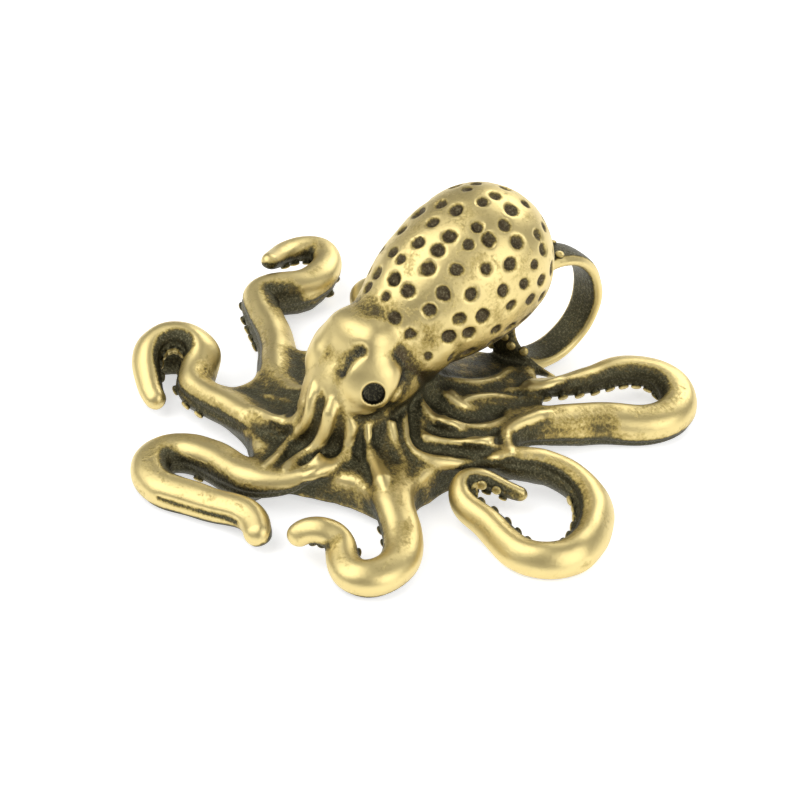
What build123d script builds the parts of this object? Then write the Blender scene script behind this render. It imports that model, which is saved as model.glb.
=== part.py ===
from build123d import *
import math
import os

# Octopus figurine in solid cast brass. Eight arms spread over the table from a skirt of web, the
# egg-shaped mantle leans back behind the head, and the left rear arm curls up and over into a
# hanging loop. It is one casting with nothing that moves, so each piece here is one form of the
# wax that it is cast from, and the pieces meet face to face.
# +Z is up, the face looks to -Y, and +X is the animal's own left. The origin is on the table,
# under the middle of the whole figure.

# Arms
reach = 26.0                # middle of the figure to the far bends of the arms
arm_girth = 3.7             # arm width at its stoutest
crown_share = 0.47          # top of an arm above its centreline, as a share of its width
sole_share = 0.42           # underside of an arm below its centreline, as a share of its width
section_pitch = 2.0         # spacing of the sections that an arm is lofted through

# Mantle, a turned egg
mantle_length = 21.2        # from the plane of the neck to the rear end
mantle_width = 14.6
mantle_tilt = 19.0          # degrees that its axis rises to the rear

# Head and eyes
head_length = 16.0
head_width = 9.0
head_tilt = 50.0            # degrees that the head's axis falls to the face
eye_width = 5.4
eye_rise = 1.3              # crest of an eye above its seat plane
eye_sink = 1.6              # foot of an eye below its seat plane, inside the head
eye_round_share = 0.95      # rounding of the eye's rim, as a share of its rise
eye_bore = 2.1
eye_bore_depth = 1.2
eye_yaw = 54.0              # degrees from the face towards the side
eye_pitch = 22.0            # degrees upwards

# Web, the skirt between the arms
web_crown_height = 7.4
web_rim_height = 3.5
web_lift = 0.6              # underside of the rim above the table
web_hollow_width = 17.0
web_hollow_height = 3.2     # top of the hollow above the table

# Hanging loop in the left rear arm
loop_bore = 9.8
loop_wall = 1.3
loop_width = 3.6
loop_stock = 0.3            # metal inside the bore that the bore's cutter takes away
loop_start = -90.0          # degrees round the bore, from straight back
loop_end = 170.0

# Suckers, in two rows under each arm
sucker_width = 0.95
sucker_rise = 0.4
sucker_sink = 0.6           # foot of a sucker inside its arm, before the arm's shape is cut out
sucker_pitch = 1.6
sucker_gap = 0.1            # least space between two suckers, and to the web or the mantle
sucker_spread = 36.0        # degrees that each row stands off the middle of the underside
sucker_start_share = 0.34   # first sucker, as a share of the arm's run from its root

# Places on the body as shares of reach: across, along and up
head_place_share = (0.012, -0.200, 0.310)
neck_place_share = (0.012, -0.130, 0.440)
eye_seat_share = (0.136, -0.222, 0.395)
web_middle_share = (0.012, -0.020, 0.0)
loop_place_share = (-0.008, 0.710, 0.252)

# Radius of the mantle as a share of its half width, at shares of its length from the neck
mantle_radius_shares = [
    (0.00, 0.50), (0.12, 0.62), (0.28, 0.83), (0.45, 0.96), (0.62, 1.00), (0.78, 0.92),
    (0.91, 0.66), (1.00, 0.00),
]
mantle_foot_slope = (0.45, 1)
# Radius of the head as a share of its half width, at shares of its length from the crown
head_radius_shares = [
    (0.00, 0.00), (0.14, 0.66), (0.32, 0.96), (0.50, 1.00), (0.70, 0.84), (0.88, 0.52),
    (1.00, 0.00),
]
head_foot_slope = (1, 0)
# Top of the web: radius as a share of reach, height as a share of the way from rim to crown
web_top_shares = [(0.00, 1.00), (0.18, 0.84), (0.34, 0.42), (0.50, 0.12), (0.80, 0.00)]

# Arms in their order round the body. Each route runs from root to tip: across and along as shares
# of reach, and the height of the centreline as a share of arm_girth.
route_shares = {
    "left_1": [
        (0.19, -0.18, 1.75), (0.24, -0.21, 1.35), (0.30, -0.25, 1.00), (0.41, -0.34, 0.80),
        (0.53, -0.40, 0.58), (0.62, -0.47, 0.43), (0.66, -0.57, 0.39), (0.63, -0.65, 0.39),
        (0.53, -0.65, 0.42), (0.45, -0.61, 0.62), (0.40, -0.64, 0.84), (0.35, -0.69, 0.74),
        (0.33, -0.73, 0.50),
    ],
    "left_2": [
        (0.26, 0.00, 1.50), (0.38, 0.04, 1.15), (0.50, 0.10, 0.86), (0.57, 0.20, 0.68),
        (0.68, 0.25, 0.54), (0.83, 0.22, 0.44), (0.94, 0.11, 0.39), (0.98, -0.03, 0.38),
        (0.92, -0.12, 0.38), (0.79, -0.14, 0.40), (0.65, -0.13, 0.50), (0.54, -0.13, 0.66),
        (0.49, -0.08, 0.80), (0.51, -0.03, 0.82), (0.57, 0.02, 0.66), (0.64, 0.08, 0.46),
    ],
    "left_3": [
        (0.17, 0.10, 1.55), (0.27, 0.12, 1.20), (0.34, 0.19, 0.92), (0.38, 0.32, 0.74),
        (0.43, 0.46, 0.60), (0.50, 0.59, 0.50), (0.58, 0.70, 0.42), (0.59, 0.81, 0.42),
        (0.52, 0.89, 0.48), (0.42, 0.90, 0.60), (0.33, 0.82, 0.70), (0.30, 0.70, 0.76),
        (0.28, 0.54, 0.90), (0.24, 0.40, 1.16),
    ],
    "left_4": [
        (0.02, 0.20, 1.35), (0.01, 0.32, 0.98), (0.00, 0.45, 0.62), (-0.005, 0.58, 0.37),
    ],
    "right_4": [
        (-0.05, 0.14, 1.40), (-0.12, 0.22, 1.08), (-0.20, 0.31, 0.82), (-0.30, 0.40, 0.62),
        (-0.42, 0.46, 0.48), (-0.54, 0.50, 0.41), (-0.65, 0.50, 0.39), (-0.70, 0.45, 0.40),
        (-0.66, 0.39, 0.46), (-0.58, 0.37, 0.54), (-0.53, 0.40, 0.58),
    ],
    "right_3": [
        (-0.14, -0.23, 1.60), (-0.22, -0.26, 1.25), (-0.31, -0.25, 0.95), (-0.46, -0.18, 0.76),
        (-0.57, -0.09, 0.66), (-0.71, -0.02, 0.62), (-0.82, 0.03, 0.62), (-0.89, 0.09, 0.66),
        (-0.87, 0.15, 0.72), (-0.83, 0.23, 0.74), (-0.84, 0.32, 0.74), (-0.90, 0.40, 0.74),
        (-0.98, 0.42, 0.76), (-1.02, 0.35, 0.84), (-1.00, 0.25, 1.00), (-0.94, 0.15, 1.34),
    ],
    "right_2": [
        (-0.04, -0.40, 1.50), (-0.12, -0.42, 1.20), (-0.21, -0.44, 0.94), (-0.36, -0.45, 0.76),
        (-0.49, -0.46, 0.64), (-0.59, -0.45, 0.64), (-0.65, -0.39, 0.76), (-0.68, -0.35, 0.92),
        (-0.73, -0.34, 1.06), (-0.80, -0.37, 1.12), (-0.83, -0.44, 1.06), (-0.80, -0.51, 0.90),
        (-0.74, -0.55, 0.68), (-0.67, -0.58, 0.50), (-0.61, -0.59, 0.38),
    ],
    "right_1": [
        (0.14, -0.42, 1.40), (0.14, -0.50, 1.05), (0.09, -0.57, 0.82), (0.00, -0.63, 0.68),
        (-0.12, -0.65, 0.58), (-0.25, -0.66, 0.48), (-0.34, -0.71, 0.42), (-0.365, -0.78, 0.39),
        (-0.32, -0.85, 0.38), (-0.22, -0.88, 0.38), (-0.11, -0.84, 0.40), (0.01, -0.79, 0.42),
        (0.12, -0.75, 0.48), (0.20, -0.77, 0.46), (0.25, -0.81, 0.40),
    ],
}
# Free end of the left rear arm past its loop, as shares of reach from the loop's centre
loop_tip_shares = [
    (0.010, -0.214, -0.028), (0.040, -0.204, -0.072), (0.088, -0.172, -0.100),
    (0.152, -0.125, -0.120), (0.214, -0.076, -0.138),
]
# Where the web lets go of each arm, and its inlet before the next arm, as shares of reach
web_point_shares = {
    "left_1": ((0.53, -0.40), (0.42, -0.20)),
    "left_2": ((0.57, 0.20), (0.38, 0.22)),
    "left_3": ((0.37, 0.28), (0.18, 0.44)),
    "left_4": ((0.00, 0.58), (-0.10, 0.42)),
    "right_4": ((-0.30, 0.40), (-0.40, 0.02)),
    "right_3": ((-0.57, -0.09), (-0.46, -0.32)),
    "right_2": ((-0.49, -0.46), (-0.08, -0.57)),
    "right_1": ((0.00, -0.63), (0.215, -0.44)),
}
# Width of each arm at its root and at its tip, as shares of arm_girth
root_width_share = 0.84
tip_width_shares = {
    "left_1": 0.50, "left_2": 0.34, "left_3": 0.42, "left_4": 0.36,
    "right_4": 0.40, "right_3": 0.42, "right_2": 0.50, "right_1": 0.66,
}
# Sections that round off a tip, as shares of its half width from the end
cap_shares = (1.0, 0.55, 0.22, 0.05)
# Degrees that an arm is rolled about its run, at its root and its tip, with its underside turned
# to the left of the run where they are positive. The left rear arm rolls only past its loop.
rolls = {
    "left_1": (0.0, -40.0), "left_2": (-50.0, -62.0), "left_3": (0.0, 25.0),
    "left_4": (0.0, -70.0), "right_4": (0.0, 30.0), "right_3": (60.0, -10.0),
    "right_2": (25.0, 40.0), "right_1": (0.0, 30.0),
}
loop_arm = "left_4"
up = Vector(0, 0, 1)
across = Vector(1, 0, 0)


def spot(shares):
    return Vector(*[share * reach for share in shares])


head_place = spot(head_place_share)
neck_place = spot(neck_place_share)
web_middle = spot(web_middle_share)
loop_place = spot(loop_place_share)
head_axis = Vector(0, -1, 0).rotate(Axis.X, head_tilt)
mantle_axis = Vector(0, 1, 0).rotate(Axis.X, mantle_tilt)


# Routes of the arms
def loop_spot(degrees):
    angle = math.radians(degrees)
    radius = (loop_bore + loop_wall) / 2
    return loop_place + Vector(0, radius * math.cos(angle), radius * math.sin(angle))


def arm_route(name):
    points = [Vector(x * reach, y * reach, z * arm_girth) for x, y, z in route_shares[name]]
    if name == loop_arm:
        steps = 9
        turn = (loop_end - loop_start) / steps
        points += [loop_spot(loop_start + step * turn) for step in range(steps + 1)]
        points += [loop_place + spot(shares) for shares in loop_tip_shares]
    with BuildLine() as line:
        Spline(points)
    return line.line.edges()[0]


routes = {name: arm_route(name) for name in route_shares}
loop_from = routes[loop_arm].param_at_point(loop_spot(loop_start))
loop_to = routes[loop_arm].param_at_point(loop_spot(loop_end))


# Half width, crown and sole of an arm's section at a share of its run
def arm_section(name, along):
    tip_share = tip_width_shares[name]
    if name == loop_arm:
        flat = min(1.0, along / loop_from)
        past = max(0.0, (along - loop_to) / (1 - loop_to))
        taper = 1 - (1 - tip_share * arm_girth / loop_width) * past**1.5
        half_width = (arm_girth * root_width_share * (1 - flat) + loop_width * flat) / 2 * taper
        root = arm_girth * root_width_share * (1 - flat)
        crown = root * crown_share + (loop_wall / 2 + loop_stock * (1 - past)) * flat
        sole = root * sole_share + loop_wall / 2 * flat
    else:
        swell = root_width_share + (1 - root_width_share) * math.sin(math.pi / 2 * min(1, along * 3))
        width = arm_girth * swell * (1 - (1 - tip_share) * along**4)
        half_width, crown, sole = width / 2, width * crown_share, width * sole_share
    to_end = (1 - along) * routes[name].length / (tip_share * arm_girth / 2)
    cap = math.sqrt(1 - (1 - min(1, to_end)) ** 2)
    return half_width * cap, crown * cap, sole * cap


# Plane across an arm, with its y axis towards the arm's crown
def frame_across(name, along):
    place, run = routes[name] @ along, (routes[name] % along).normalized()
    towards = loop_place - place if name == loop_arm else up
    root_roll, tip_roll = rolls[name]
    turned = max(0.0, (along - loop_to) / (1 - loop_to)) if name == loop_arm else along
    roll = root_roll + (tip_roll - root_roll) * turned
    side = towards.cross(run).rotate(Axis((0, 0, 0), run), roll)
    return Plane(origin=place, x_dir=side, z_dir=run)


def limb(name):
    length = routes[name].length
    cap = tip_width_shares[name] * arm_girth / 2 / length
    count = round(length * (1 - cap) / section_pitch)
    places = [step / count * (1 - cap) for step in range(count)]
    places += [1 - cap * share for share in cap_shares]
    with BuildPart() as run:
        for along in places:
            half_width, crown, sole = arm_section(name, along)
            with BuildSketch(frame_across(name, along)):
                with BuildLine():
                    EllipticalCenterArc((0, 0), half_width, crown, 0, arc_size=90)
                    EllipticalCenterArc((0, 0), half_width, crown, 90, arc_size=90)
                    EllipticalCenterArc((0, 0), half_width, sole, 180, arc_size=90)
                    EllipticalCenterArc((0, 0), half_width, sole, 270, arc_size=90)
                make_face()
        loft()
    return run.part


# Egg turned about its own axis, from the outline of its radius along that axis
def turned_egg(foot, axis, length, half_width, radius_shares, foot_slope):
    points = [(radius * half_width, place * length) for place, radius in radius_shares]
    with BuildPart() as egg:
        with BuildSketch(Plane(origin=foot, x_dir=across, z_dir=across.cross(axis))):
            with BuildLine():
                Spline(points, tangents=[foot_slope, (-1, 0)])
                Line(points[-1], (0, 0))
                if points[0][0] > 0:
                    Line((0, 0), points[0])
            make_face()
        revolve(axis=Axis(foot, axis))
    return egg.part


# Head, the piece that the others are fitted round
head_crown = head_place - head_axis * head_length / 2
with BuildPart() as head:
    add(
        turned_egg(
            head_crown, head_axis, head_length, head_width / 2,
            head_radius_shares, head_foot_slope,
        )
    )


# Mantle
with BuildPart() as mantle:
    add(
        turned_egg(
            neck_place, mantle_axis, mantle_length, mantle_width / 2,
            mantle_radius_shares, mantle_foot_slope,
        )
    )
    add(head.part, mode=Mode.SUBTRACT)

# Eyes, low domes on the sides of the head, each with a drilled socket
eyes = {}
for side_name, side in (("left", 1), ("right", -1)):
    look = Vector(0, -1, 0).rotate(Axis.X, -eye_pitch).rotate(Axis.Z, side * eye_yaw)
    seat_place = spot(eye_seat_share)
    seat_place.X = head_place.X + side * (seat_place.X - head_place.X)
    seat = Plane(origin=seat_place, z_dir=look)
    with BuildPart() as eye:
        with BuildSketch(seat.offset(-eye_sink)):
            Circle(eye_width / 2)
        extrude(amount=eye_sink + eye_rise)
        fillet(eye.edges().sort_by(Axis(seat_place, look))[-1], eye_rise * eye_round_share)
        with BuildSketch(seat.offset(eye_rise)):
            Circle(eye_bore / 2)
        extrude(amount=-eye_bore_depth, mode=Mode.SUBTRACT)
        for piece in (head.part, mantle.part):
            add(piece, mode=Mode.SUBTRACT)
    eyes[side_name] = eye.part

# Arms, cut off where they enter the head and flat where they lie on the table
limbs = {name: limb(name) for name in route_shares}
arms = {}
neighbour = None
for name in route_shares:
    with BuildPart() as arm:
        add(limbs[name])
        if name == loop_arm:
            with BuildSketch(Plane(origin=loop_place, z_dir=across)):
                Circle(loop_bore / 2)
            extrude(amount=loop_width / 2, both=True, mode=Mode.SUBTRACT)
        for piece in filter(None, (head.part, mantle.part, neighbour)):
            add(piece, mode=Mode.SUBTRACT)
        split(bisect_by=Plane.XY, keep=Keep.TOP)
    arms[name] = arm.part
    neighbour = limbs[name]

# Web, a bell with a scalloped rim and a hollow under it
with BuildPart() as web:
    with BuildSketch(Plane.XY.offset(web_lift)):
        with BuildLine():
            names = list(web_point_shares)
            for name, next_name in zip(names, names[1:] + names[:1]):
                shares = (*web_point_shares[name], web_point_shares[next_name][0])
                ThreePointArc(*[(x * reach, y * reach) for x, y in shares])
        make_face()
    extrude(amount=web_crown_height)
    with BuildSketch(Plane.XZ.offset(-web_middle.Y)):
        with BuildLine():
            top = [
                (
                    web_middle.X + radius * reach,
                    web_rim_height + share * (web_crown_height - web_rim_height),
                )
                for radius, share in web_top_shares
            ]
            Spline(top, tangents=[(1, 0), (1, 0)])
            Polyline(top[-1], (top[-1][0], 0), (web_middle.X, 0), top[0])
        make_face()
    revolve(axis=Axis(web_middle, up), mode=Mode.INTERSECT)
    with BuildSketch(Plane.XZ.offset(-web_middle.Y)):
        with BuildLine():
            roof = (web_middle.X, web_hollow_height)
            rim = (web_middle.X + web_hollow_width / 2, web_lift)
            Spline(roof, rim, tangents=[(1, 0), (0.5, -1)])
            Polyline(rim, (web_middle.X, web_lift), roof)
        make_face()
    revolve(axis=Axis(web_middle, up), mode=Mode.SUBTRACT)
    for piece in (head.part, mantle.part, *limbs.values()):
        add(piece, mode=Mode.SUBTRACT)


# Suckers, short studs on the underside of each arm
def sucker_seats(name):
    start = loop_from if name == loop_arm else sucker_start_share
    count = int(routes[name].length * (1 - start) / sucker_pitch)
    for number in range(count):
        for row in (-1, 1):
            along = start + (number + 0.5 + 0.25 * row) / count * (1 - start)
            half_width, _, sole = arm_section(name, along)
            frame = frame_across(name, along)
            angle = math.radians(-90 + row * sucker_spread)
            place = Vector(half_width * math.cos(angle), sole * math.sin(angle))
            slope = Vector(math.cos(angle) / half_width, math.sin(angle) / sole).normalized()
            normal = frame.x_dir * slope.X + frame.y_dir * slope.Y
            width = min(sucker_width, half_width)
            yield frame.from_local_coords(place), normal, width


def sucker_room(place, width):
    return min(piece.distance_to(place) for piece in (web.part, mantle.part)) - width / 2


sucker_groups = {}
for name in arms:
    taken = []
    for place, normal, width in sucker_seats(name):
        crest = place + normal * sucker_rise
        room = min((crest - other).length for other, _, _ in taken) - width if taken else reach
        room = min(room, sucker_room(place, width), sucker_room(crest, width))
        if room > sucker_gap and crest.Z > width / 2:
            taken.append((crest, normal, width))
    with BuildPart() as group:
        for crest, normal, width in taken:
            with BuildSketch(Plane(origin=crest, z_dir=normal)):
                Circle(width / 2)
            extrude(amount=-sucker_sink - sucker_rise)
        add(limbs[name], mode=Mode.SUBTRACT)
    sucker_groups[name] = group.part

# Write the pieces
pieces = {"head": head.part, "mantle": mantle.part, "web": web.part}
pieces |= {f"eye_{side_name}": piece for side_name, piece in eyes.items()}
pieces |= {f"arm_{name}": piece for name, piece in arms.items()}
pieces |= {f"suckers_{name}": piece for name, piece in sucker_groups.items()}
os.makedirs("parts", exist_ok=True)
for name, piece in pieces.items():
    piece.label = name
    export_step(piece, f"parts/{name}.step")
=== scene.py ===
import math

import bpy
import numpy as np
import openvdb
from mathutils import Matrix, Vector


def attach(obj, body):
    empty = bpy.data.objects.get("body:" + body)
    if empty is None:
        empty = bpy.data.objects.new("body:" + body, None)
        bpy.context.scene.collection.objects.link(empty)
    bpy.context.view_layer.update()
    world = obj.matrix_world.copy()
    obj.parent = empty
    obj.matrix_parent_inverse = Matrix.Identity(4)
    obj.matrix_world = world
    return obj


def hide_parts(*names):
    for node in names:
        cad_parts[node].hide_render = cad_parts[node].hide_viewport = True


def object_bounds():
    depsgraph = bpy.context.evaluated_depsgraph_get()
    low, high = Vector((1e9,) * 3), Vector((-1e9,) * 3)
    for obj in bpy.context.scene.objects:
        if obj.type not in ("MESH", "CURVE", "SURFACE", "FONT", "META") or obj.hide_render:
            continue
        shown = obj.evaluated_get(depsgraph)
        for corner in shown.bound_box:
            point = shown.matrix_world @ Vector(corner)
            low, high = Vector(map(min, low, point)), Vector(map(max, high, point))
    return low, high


# Octopus figurine in antique brass. The whole casting is sculpted once as a block of wax, a grid of
# distances to its surface in millimetres, and then cut into the pieces that the model has.
# Lengths below are in millimetres, and mm turns them into metres.
mm = 0.001
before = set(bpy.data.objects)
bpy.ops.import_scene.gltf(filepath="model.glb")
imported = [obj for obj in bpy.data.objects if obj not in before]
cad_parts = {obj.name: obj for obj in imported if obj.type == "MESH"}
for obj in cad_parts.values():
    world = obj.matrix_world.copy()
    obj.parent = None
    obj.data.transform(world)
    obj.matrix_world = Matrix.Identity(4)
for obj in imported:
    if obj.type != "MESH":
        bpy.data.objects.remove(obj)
cadBox = [[float(value) for value in corner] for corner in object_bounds()]
cadLow, cadHigh = (np.array(corner) / mm for corner in cadBox)
print("frame loaded", cadLow.round(2), cadHigh.round(2))

wax = {
    "voxel": 0.14,
    "band": 1.7,          # how far from a surface its distances are known
    "margin": 1.2,        # spare wax round the casting's box
    "inset": 0.03,        # kept inside the box
    "spare": 1.0,         # wax worked round a wire
    "rayMargin": 0.5, "rayRun": 90.0,   # how far outside the box, and how long, a ray looks for wax
}
voxel = wax["voxel"]
far = wax["band"]
first = np.floor((cadLow - wax["margin"]) / voxel).astype(int)
counts = np.ceil((cadHigh + wax["margin"]) / voxel).astype(int) - first + 1
waxGrid = openvdb.createLinearTransform(voxelSize=voxel)
block = np.full(counts, far, np.float32)

# Body sizes, the same as the construction's
reach = 26.0
armGirth = 3.7
camera = {
    "azimuth": 51.0, "elevation": 36.0, "distance": 400.0, "pixelsPerMm": 10.67,
    "aim": (-1.82, 2.13, 2.12), "pictureWidth": 800, "sensor": 36.0,
    "clip": (0.01, 5.0),      # metres
}


# To the right, up and back to the eye, at the photograph's angle
def viewAxes():
    turn, rise = math.radians(camera["azimuth"]), math.radians(camera["elevation"])
    back = np.array([
        math.sin(turn) * math.cos(rise), -math.cos(turn) * math.cos(rise), math.sin(rise),
    ])
    right = np.array([math.cos(turn), math.sin(turn), 0.0])
    return right, np.cross(back, right), back


viewRight, viewUp, viewBack = viewAxes()
viewPlace = np.array(camera["aim"]) + viewBack * camera["distance"]


def makeCamera():
    data = bpy.data.cameras.new("camera")
    data.sensor_width = camera["sensor"]
    focalPixels = camera["pixelsPerMm"] * camera["distance"]
    data.lens = focalPixels * camera["sensor"] / camera["pictureWidth"]
    data.clip_start, data.clip_end = camera["clip"]
    holder = bpy.data.objects.new("camera", data)
    turn = Matrix((viewRight, viewUp, viewBack)).transposed().to_4x4()
    holder.matrix_world = Matrix.Translation(Vector(viewPlace * mm)) @ turn
    bpy.context.scene.collection.objects.link(holder)
    bpy.context.scene.camera = holder


makeCamera()


# Wax tools
def curveThrough(points, startSlope=None, endSlope=None):
    points = np.array(points, float)
    gaps = np.linalg.norm(np.diff(points, axis=0), axis=1)
    knots = np.concatenate([[0], np.cumsum(gaps)])
    last = len(points) - 1
    slopes = np.diff(points, axis=0) / gaps[:, None]
    rows, pulls = np.zeros((last + 1, last + 1)), np.zeros_like(points)
    rows[0, 0] = rows[last, last] = 1
    for i in range(1, last):
        rows[i, i - 1:i + 2] = gaps[i - 1], 2 * (gaps[i - 1] + gaps[i]), gaps[i]
        pulls[i] = 6 * (slopes[i] - slopes[i - 1])
    if startSlope is not None:
        rows[0, :2] = 2 * gaps[0], gaps[0]
        pulls[0] = 6 * (slopes[0] - np.array(startSlope) / np.linalg.norm(startSlope))
    if endSlope is not None:
        rows[last, last - 1:] = gaps[-1], 2 * gaps[-1]
        pulls[last] = 6 * (np.array(endSlope) / np.linalg.norm(endSlope) - slopes[-1])
    bends = np.linalg.solve(rows, pulls)

    def at(shares):
        place = np.atleast_1d(shares) * knots[-1]
        i = np.clip(np.searchsorted(knots, place, side="right") - 1, 0, last - 1)
        gap, a, b = gaps[i][:, None], (place - knots[i])[:, None], (knots[i + 1] - place)[:, None]
        spot = bends[i] * b**3 / (6 * gap) + bends[i + 1] * a**3 / (6 * gap)
        spot += (points[i] / gap - bends[i] * gap / 6) * b
        spot += (points[i + 1] / gap - bends[i + 1] * gap / 6) * a
        run = -bends[i] * b**2 / (2 * gap) + bends[i + 1] * a**2 / (2 * gap)
        run += (points[i + 1] - points[i]) / gap - (bends[i + 1] - bends[i]) * gap / 6
        return spot, run / np.linalg.norm(run, axis=1)[:, None]

    return at, knots


def ease(value, low, high):
    share = np.clip((value - low) / (high - low), 0, 1)
    return share * share * (3 - 2 * share)


def unit(vectors):
    return vectors / np.maximum(np.linalg.norm(vectors, axis=-1, keepdims=True), 1e-9)


# Faces of a skin through rings of points, closed by a point at its foot and one at its tip
def ringFaces(steps, around):
    i, j = np.meshgrid(np.arange(steps - 1), np.arange(around), indexing="ij")
    here, ahead = i * around + j, i * around + (j + 1) % around
    quads = np.stack([here, here + around, ahead + around, ahead], -1)
    ends = np.arange(around)
    nextEnds = (ends + 1) % around
    foot, tip = steps * around, steps * around + 1
    lastRing = (steps - 1) * around
    triangles = np.concatenate([
        np.stack([ends, nextEnds, np.full(around, foot)], -1),
        np.stack([lastRing + nextEnds, lastRing + ends, np.full(around, tip)], -1),
    ])
    return quads.reshape(-1, 4), triangles


# A closed skin from rings of points, as a block of distances and the corner that it starts at
def poured(rings):
    points = np.concatenate([rings.reshape(-1, 3), rings[:1].mean(1), rings[-1:].mean(1)])
    quads, triangles = ringFaces(*rings.shape[:2])
    grid = openvdb.FloatGrid.createLevelSetFromPolygons(
        points, triangles=triangles.astype(np.int32), quads=quads.astype(np.int32),
        transform=waxGrid, halfWidth=far / voxel,
    )
    low, high = (np.array(corner) for corner in grid.evalActiveVoxelBoundingBox())
    low, high = np.maximum(low, first), np.minimum(high, first + counts - 1)
    part = np.empty(high - low + 1, np.float32)
    grid.copyToArray(part, ijk=tuple(int(value) for value in low))
    return part, low - first


def blended(a, b, softness):
    share = np.clip(0.5 + 0.5 * (b - a) / softness, 0, 1)
    return b + (a - b) * share - softness * share * (1 - share)


def region(part, corner):
    return tuple(slice(start, start + size) for start, size in zip(corner, part.shape))


def addWax(part, corner, softness):
    cells = region(part, corner)
    block[cells] = blended(block[cells], part, softness)


def carveWax(part, corner, softness):
    cells = region(part, corner)
    block[cells] = -blended(-block[cells], part, softness)


# Coordinates of the block's cells between two corners, as three arrays that spread over them
def cellLines(start, stop):
    shapes = ((-1, 1, 1), (1, -1, 1), (1, 1, -1))
    lines = [(np.arange(a, b) + f) * voxel for a, b, f in zip(start, stop, first)]
    return [line.reshape(shape) for line, shape in zip(lines, shapes)]


# First cell and coordinates of a box of wax
def cellsRound(low, high):
    start = np.maximum(np.floor(np.array(low) / voxel).astype(int) - first, 0)
    stop = np.minimum(np.ceil(np.array(high) / voxel).astype(int) - first + 1, counts)
    return start, [line.astype(np.float32) for line in cellLines(start, stop)]


# How far cells lie from a place along a direction, times its length
def offsetAlong(cells, place, way):
    return sum((line - at) * part for line, at, part in zip(cells, place, way))


def squareFrom(cells, place):
    return sum((line - at) ** 2 for line, at in zip(cells, place))


# Round wire through the points, with its own radius at each
def wireRound(points, radii):
    spare = max(radii) + wax["spare"]
    start, (x, y, z) = cellsRound(points.min(0) - spare, points.max(0) + spare)
    nearest = np.full((x.size, y.size, z.size), far, np.float32)
    for a, b, radiusA, radiusB in zip(points, points[1:], radii, radii[1:]):
        run = b - a
        share = np.clip(offsetAlong((x, y, z), a, run) / (run @ run), 0, 1)
        square = (x - a[0] - share * run[0]) ** 2 + (y - a[1] - share * run[1]) ** 2
        square += (z - a[2] - share * run[2]) ** 2
        nearest = np.minimum(nearest, np.sqrt(square) - radiusA - share * (radiusB - radiusA))
    return nearest.astype(np.float32), start


# Shares of a wire's radius along it, thinner towards both ends
def tapered(number, endShare, rate):
    rising = np.linspace(0, rate, number)
    return np.minimum(1, np.minimum(rising, rising[::-1]) + endShare)


# Value of a block of wax at places in it
def lookUp(cells, corner, step, places):
    index = places / step - corner
    base = np.clip(np.floor(index), 0, np.array(cells.shape) - 2).astype(np.int32)
    part = np.clip(index - base, 0, 1).astype(np.float32)
    total = np.zeros(len(places), np.float32)
    for i, j, k in np.ndindex(2, 2, 2):
        weight = np.abs(1 - i - part[:, 0]) * np.abs(1 - j - part[:, 1]) * np.abs(1 - k - part[:, 2])
        total += weight * cells[base[:, 0] + i, base[:, 1] + j, base[:, 2] + k]
    return total


# Directions straight out of the wax
def wayOut(places):
    sides = []
    for axis in np.eye(3):
        ahead = lookUp(block, first, voxel, places + axis * voxel)
        sides.append(ahead - lookUp(block, first, voxel, places - axis * voxel))
    return unit(np.stack(sides, -1))


# First wax that a ray meets
def firstWax(start, direction, near, length):
    places = start + np.arange(near, near + length, voxel / 2)[:, None] * direction
    spare = wax["rayMargin"]
    inside = np.all((places > cadLow - spare) & (places < cadHigh + spare), axis=1)
    depth = np.where(inside, lookUp(block, first, voxel, places), far)
    return places[np.argmax(depth < 0)] if (depth < 0).any() else None


def waxUnderPixel(pixel):
    focal = camera["pixelsPerMm"] * camera["distance"]
    middle = camera["pictureWidth"] / 2
    across, down = (pixel[0] - middle) / focal, (pixel[1] - middle) / focal
    direction = unit(-viewBack + viewRight * across - viewUp * down)
    return firstWax(viewPlace, direction, camera["distance"] - wax["rayRun"] / 2, wax["rayRun"])


def waxUnderPlace(shares):
    return firstWax(np.array([*shares, 1.0]) * reach, np.array([0.0, 0.0, -1.0]), 0, reach)


# Slow lumps over a block of wax, between -1 and 1
def lumps(sizes, spacing, seed):
    numbers = [int(size * voxel / spacing) + 4 for size in sizes]
    rough = np.random.default_rng(seed).uniform(-1, 1, numbers)
    for axis, size in enumerate(sizes):
        place = np.arange(size) * voxel / spacing
        base = place.astype(int)
        t = place - base
        weights = np.zeros((size, rough.shape[axis]))
        cubic = (1 - t) ** 3, 3 * t**3 - 6 * t**2 + 4, -3 * t**3 + 3 * t**2 + 3 * t + 1, t**3
        for step, weight in enumerate(cubic):
            weights[np.arange(size), base + step] = weight / 6
        rough = np.moveaxis(np.tensordot(weights, rough, axes=(1, axis)), 0, axis)
    return rough.astype(np.float32)


# Arms
arm = {
    "crownShare": 0.47, "soleShare": 0.42, "rootShare": 0.84,
    "swellRate": 3, "taperPower": 4,   # how soon it is full, and how late it thins
    "around": 56, "stepLength": 0.3, "capLength": 1.2, "capSteps": 12,
    "fullness": 2.35,          # 2 is an ellipse, more is squarer
    "rootTaper": (0.42, 0.24),   # size at the root, and the share of the run where it is full
    # Below the arm's widest line, in degrees, and how far before the tip it fades
    "creaseAngle": 19.0, "creaseWidth": 8.0, "creaseDepthShare": 0.17, "creaseFade": 2.0,
    "soften": 1.0,             # fillet where an arm meets the web
    "rippleHeight": 0.16, "rippleSpacing": 1.5,
}
loop = {
    "arm": "left_4", "place": (-0.008, 0.710, 0.252), "bore": 9.8, "wall": 1.3, "width": 3.6,
    "stock": 0.3, "start": -90.0, "end": 170.0, "steps": 9, "soften": 0.5, "edge": 0.3,
    "taperPower": 1.5,
}
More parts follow.
